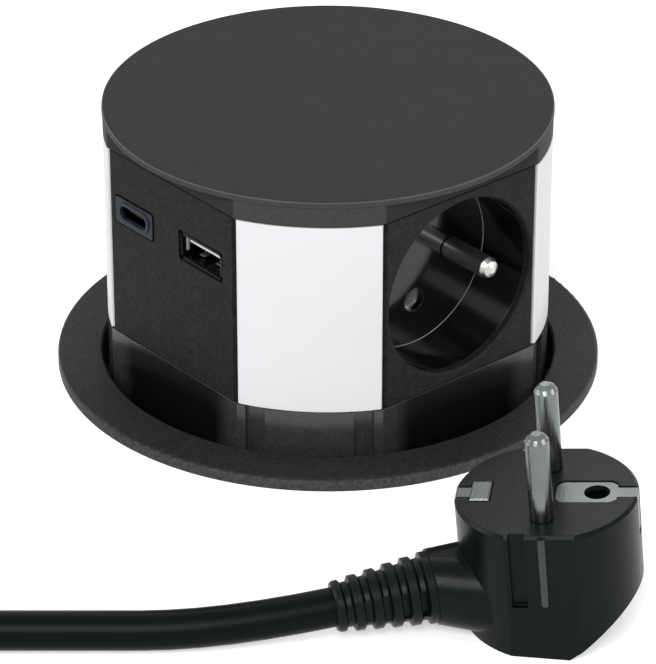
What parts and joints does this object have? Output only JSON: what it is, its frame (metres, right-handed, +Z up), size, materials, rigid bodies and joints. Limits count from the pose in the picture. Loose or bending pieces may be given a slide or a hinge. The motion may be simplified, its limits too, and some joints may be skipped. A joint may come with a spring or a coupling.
{
  "type": "pop up desk socket",
  "caption": "Round pop-up desk socket column with earthed mains wells and USB ports on four flats, flush lid, desk flange and corded right-angle plug.",
  "frame": {"origin": "on the column's axis, level with the desk top and the flange's underside", "axes": "+Z up along the column's axis, -Y out of the USB facet, +X out of the right-hand mains socket"},
  "size_m": [0.2183, 0.3195, 0.1711],
  "materials": {
    "lid_plastic": "fine satin grain",
    "plate_plastic": "satin",
    "band_plastic": "gloss",
    "white_panel": "semi-gloss",
    "well_plastic": "gloss",
    "slate_bezel": "satin",
    "flange_plastic": "satin",
    "cover_plastic": "satin",
    "ring_plastic": "satin",
    "latch_plastic": "satin",
    "nickel_pin": "bright nickel plate",
    "bright_steel": "bright",
    "spring_steel": "drawn wire",
    "screw_steel": "zinc plate",
    "contact_nickel": "nickel plate",
    "board_green": "solder mask",
    "ferrite": "dull",
    "port_plastic": "satin",
    "cord_pvc": "smooth sheath",
    "plug_plastic": "semi-gloss",
    "relief_rubber": "satin",
    "tie_plastic": "satin",
    "clip_metal": "nickel plate"
  },
  "bodies": {
    "housing": {"mounting_sleeve": "flange_plastic", "fixing_ring": "ring_plastic", "bottom_cover": "cover_plastic", "cover_screws": "screw_steel", "cord_gland": "relief_rubber", "cord_inside": "cord_pvc", "cord_clamp": "latch_plastic", "clamp_screws": "screw_steel", "latch_housing": "latch_plastic", "lift_spring_a": "spring_steel", "lift_spring_b": "spring_steel", "inner_lead": "cord_pvc", "cord_to_plug": "cord_pvc", "cord_coil": "cord_pvc", "coil_tie": "tie_plastic", "cord_under_desk": "cord_pvc", "plug_body": "plug_plastic", "plug_pins": "nickel_pin", "plug_earth_clip": "clip_metal", "plug_earth_socket": "clip_metal", "plug_relief": "relief_rubber"},
    "carriage": {"lid": "lid_plastic", "lid_screws": "screw_steel", "carriage_base": "band_plastic", "corner_panel_front": "white_panel", "corner_panel_right": "white_panel", "corner_panel_rear": "white_panel", "corner_panel_left": "white_panel", "facet_plate_right": "plate_plastic", "facet_plate_rear": "plate_plastic", "facet_plate_left": "plate_plastic", "socket_well_right": "well_plastic", "socket_well_rear": "well_plastic", "socket_well_left": "well_plastic", "earth_pin_right": "nickel_pin", "earth_pin_rear": "nickel_pin", "earth_pin_left": "nickel_pin", "live_bus": "contact_nickel", "neutral_bus": "contact_nickel", "earth_bus": "contact_nickel", "usb_plate": "plate_plastic", "usb_c_bezel": "slate_bezel", "usb_c_shell": "bright_steel", "usb_c_tongue": "port_plastic", "usb_a_shell": "bright_steel", "usb_a_tongue": "port_plastic", "usb_board": "board_green", "usb_transformer": "ferrite", "latch_striker": "latch_plastic"},
    "plunger": {"latch_plunger": "latch_plastic"}
  },
  "joints": [
    {"name": "carriage_lift", "type": "slide", "parent": "housing", "child": "carriage", "axis": [0, 0, 1], "range_m": [-0.0598, 0], "stiffness_N_per_m": 120, "springref_m": 0.08, "deforming": ["lift_spring_a", "lift_spring_b", "inner_lead"]},
    {"name": "latch_push", "type": "slide", "parent": "housing", "child": "plunger", "axis": [0, 0, 1], "range_m": [-0.004, 0], "stiffness_N_per_m": 300, "springref_m": 0.01}
  ]
}
